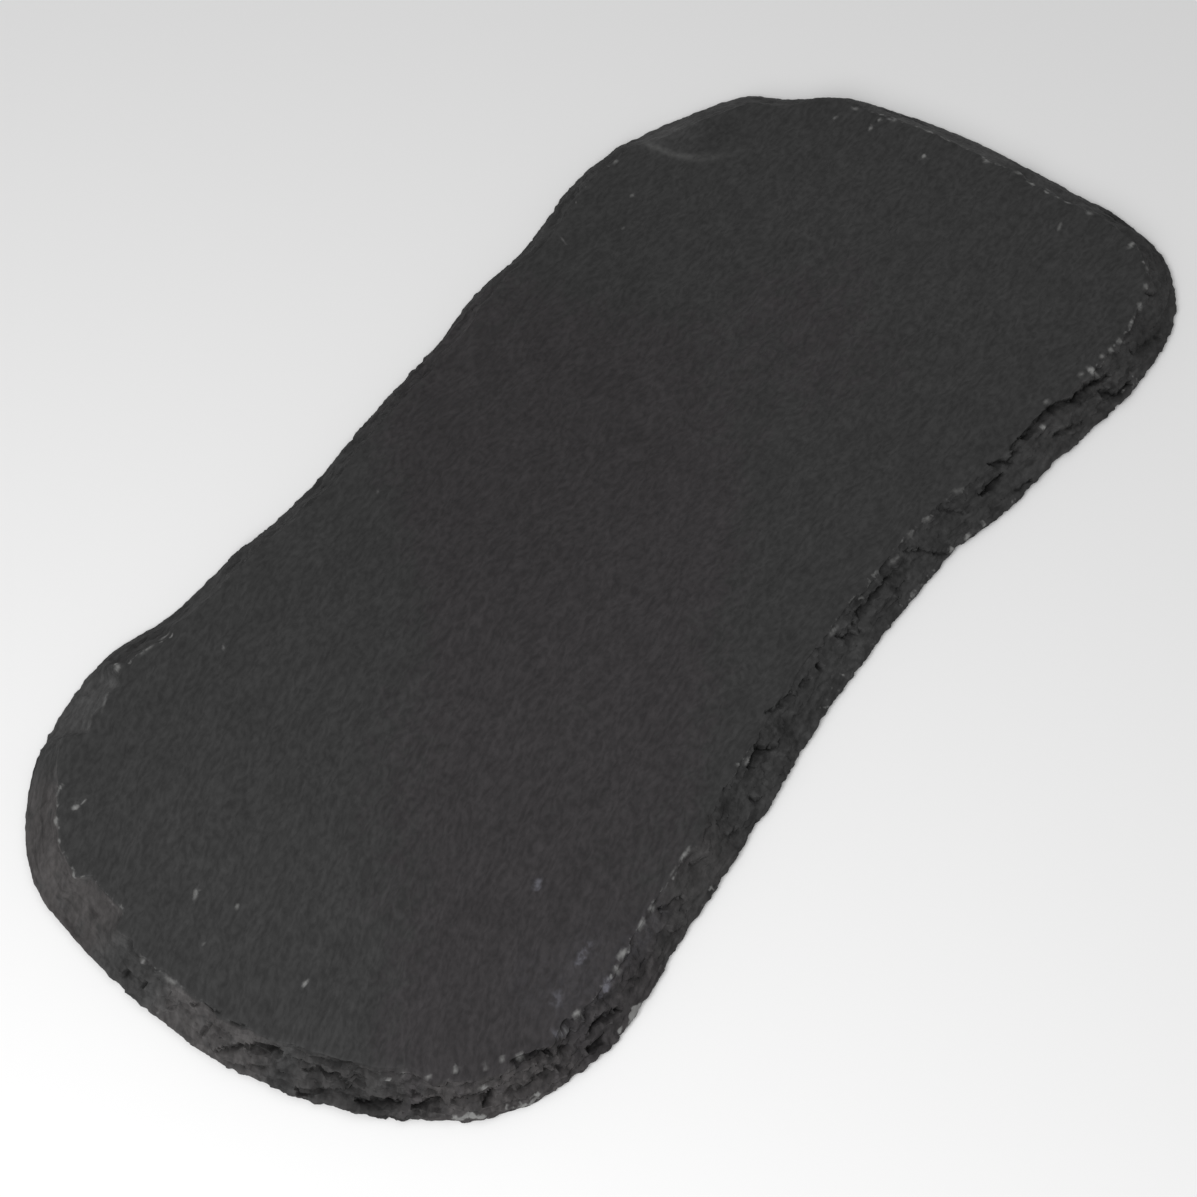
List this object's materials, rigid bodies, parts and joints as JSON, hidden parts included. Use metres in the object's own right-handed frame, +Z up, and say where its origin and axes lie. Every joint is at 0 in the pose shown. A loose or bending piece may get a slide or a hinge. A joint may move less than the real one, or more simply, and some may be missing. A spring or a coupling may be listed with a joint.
{
  "type": "slate slab",
  "caption": "Thin waisted slab of dark slate with broad rounded ends and a rough hand-dressed edge; lies flat as a board, tile or display base.",
  "frame": {"origin": "middle of the slab's box, on its base", "axes": "+X along the slab, +Y to its back edge, +Z up out of the top face"},
  "size_m": [0.2996, 0.141, 0.006],
  "materials": {
    "slate": "matt riven slate, near black, with paler chipped edges"
  },
  "bodies": {
    "root": {"slate_slab": "slate"}
  },
  "joints": []
}
